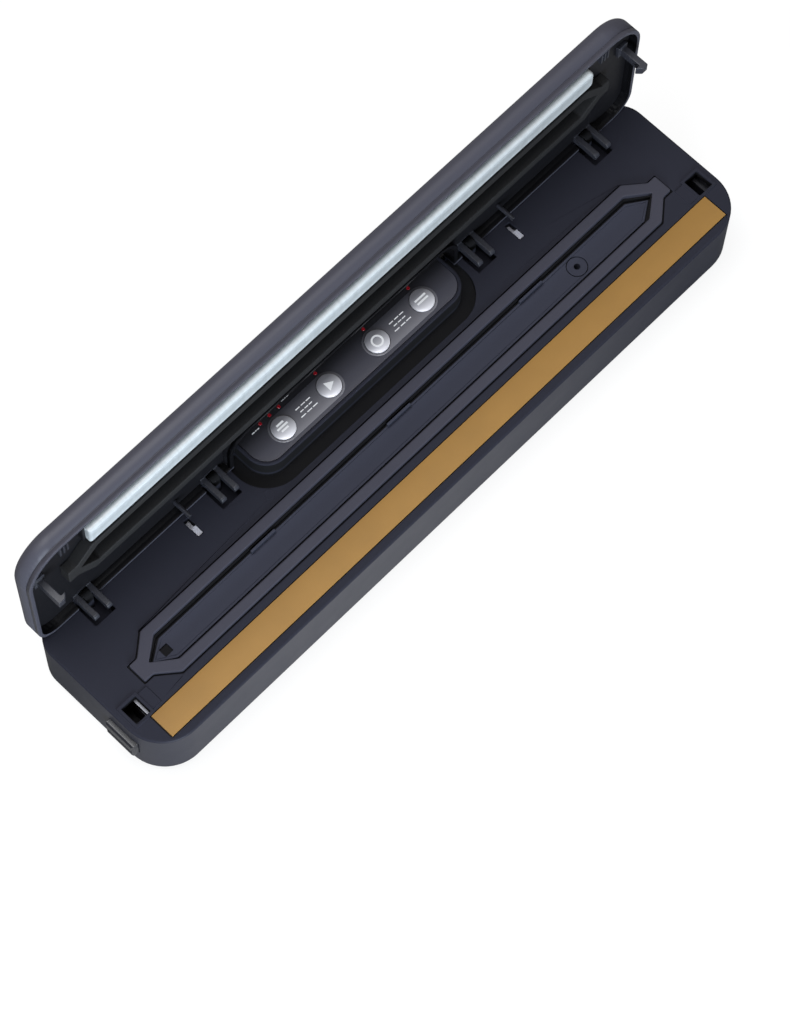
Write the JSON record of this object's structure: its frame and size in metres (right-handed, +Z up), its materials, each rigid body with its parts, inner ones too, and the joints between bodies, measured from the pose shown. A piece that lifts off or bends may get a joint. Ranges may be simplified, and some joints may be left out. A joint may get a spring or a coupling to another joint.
{
  "type": "vacuum sealer",
  "caption": "Long flat bag sealer with a hinged lid standing open, a heat strip, a gasketed vacuum chamber, a raised control pod with round keys and end release buttons.",
  "frame": {"origin": "on the surface it stands on, under the middle of the whole part with its lid open", "axes": "+X along the length, -Y towards the user, +Z up"},
  "size_m": [0.335, 0.0762, 0.1035],
  "materials": {
    "case_plastic": "satin dark blue-grey moulding",
    "lid_plastic": "satin dark grey moulding",
    "inner_plastic": "fine-textured black moulding",
    "cover_plastic": "textured black moulding",
    "gasket_grey": "soft grey silicone",
    "gasket_black": "soft black foam rubber",
    "foot_rubber": "matt black rubber",
    "hose_silicone": "translucent silicone",
    "strip_silicone": "pale satin silicone",
    "tape_tan": "coated glass-cloth tape",
    "heater_insulation": "heat-proof laminate",
    "ribbon_steel": "rolled resistance ribbon",
    "panel_gloss": "gloss overlay",
    "key_silver": "brushed silver key film",
    "zone_grey": "printed grey zone",
    "light_red": "red light pipe",
    "steel": "plain steel",
    "motor_steel": "plated steel can",
    "pump_plastic": "glass-filled moulding",
    "board_green": "solder-masked laminate",
    "switch_plastic": "switch moulding",
    "plunger_grey": "pale grey moulding",
    "coil_yellow": "taped winding on a core",
    "brass": "plated contact"
  },
  "bodies": {
    "base": {"base_housing": "case_plastic", "bottom_cover": "cover_plastic", "rubber_feet": "foot_rubber", "cover_screws": "steel", "heater_bar": "heater_insulation", "heating_ribbon": "ribbon_steel", "heat_strip_tape": "tape_tan", "lower_gasket": "gasket_grey", "chamber_tray": "inner_plastic", "suction_port": "plunger_grey", "vacuum_hose": "hose_silicone", "pump_head": "pump_plastic", "motor_can": "motor_steel", "panel_overlay": "panel_gloss", "key_zones": "zone_grey", "control_board": "board_green", "tact_switches": "switch_plastic", "indicator_lights": "light_red", "power_board": "board_green", "transformer": "coil_yellow", "capacitor": "motor_steel", "power_inlet": "switch_plastic", "inlet_pins": "brass", "button_spring_right": "steel", "button_spring_left": "steel", "lid_switch_right": "switch_plastic", "lid_switch_left": "switch_plastic"},
    "lid": {"lid_shell": "lid_plastic", "lid_inner_plate": "inner_plastic", "lid_screws": "steel", "upper_gasket": "gasket_black", "pressing_strip": "strip_silicone", "strip_channel": "inner_plastic", "lid_hooks": "inner_plastic", "hinge_arms": "inner_plastic", "hinge_pins": "steel", "switch_pins": "inner_plastic", "strip_clips": "inner_plastic"},
    "release_button_right": {"release_button_right": "case_plastic", "latch_catch_right": "steel"},
    "release_button_left": {"release_button_left": "case_plastic", "latch_catch_left": "steel"},
    "rotor": {"motor_rotor": "steel", "pump_eccentric": "plunger_grey"},
    "key_mode": {"key_mode": "key_silver"},
    "key_start": {"key_start": "key_silver"},
    "key_vacuum": {"key_vacuum": "key_silver"},
    "key_seal": {"key_seal": "key_silver"},
    "switch_plunger_left": {"switch_plunger_left": "plunger_grey"},
    "switch_plunger_right": {"switch_plunger_right": "plunger_grey"}
  },
  "joints": [
    {"name": "lid_hinge", "type": "hinge", "parent": "base", "child": "lid", "pos_m": [0, 0.029, 0.037], "axis": [1, 0, 0], "range_deg": [0, 90]},
    {"name": "release_right", "type": "slide", "parent": "base", "child": "release_button_right", "axis": [-1, 0, 0], "range_m": [0, 0.0022], "stiffness_N_per_m": 500, "springref_m": -0.002, "deforming": ["button_spring_right"]},
    {"name": "release_left", "type": "slide", "parent": "base", "child": "release_button_left", "axis": [1, 0, 0], "range_m": [0, 0.0022], "stiffness_N_per_m": 500, "springref_m": -0.002, "deforming": ["button_spring_left"]},
    {"name": "press_mode", "type": "slide", "parent": "base", "child": "key_mode", "axis": [0, 0, -1], "range_m": [0, 0.0005], "stiffness_N_per_m": 400, "springref_m": -0.0005},
    {"name": "press_start", "type": "slide", "parent": "base", "child": "key_start", "axis": [0, 0, -1], "range_m": [0, 0.0005], "stiffness_N_per_m": 400, "springref_m": -0.0005},
    {"name": "press_vacuum", "type": "slide", "parent": "base", "child": "key_vacuum", "axis": [0, 0, -1], "range_m": [0, 0.0005], "stiffness_N_per_m": 400, "springref_m": -0.0005},
    {"name": "press_seal", "type": "slide", "parent": "base", "child": "key_seal", "axis": [0, 0, -1], "range_m": [0, 0.0005], "stiffness_N_per_m": 400, "springref_m": -0.0005},
    {"name": "lid_sense_left", "type": "slide", "parent": "base", "child": "switch_plunger_left", "axis": [0, 0, -1], "range_m": [0, 0.001], "stiffness_N_per_m": 200, "springref_m": -0.0005},
    {"name": "lid_sense_right", "type": "slide", "parent": "base", "child": "switch_plunger_right", "axis": [0, 0, -1], "range_m": [0, 0.001], "stiffness_N_per_m": 200, "springref_m": -0.0005},
    {"name": "motor_spin", "type": "hinge", "parent": "base", "child": "rotor", "pos_m": [0, 0.0189, 0.0116], "axis": [1, 0, 0], "continuous": true}
  ]
}
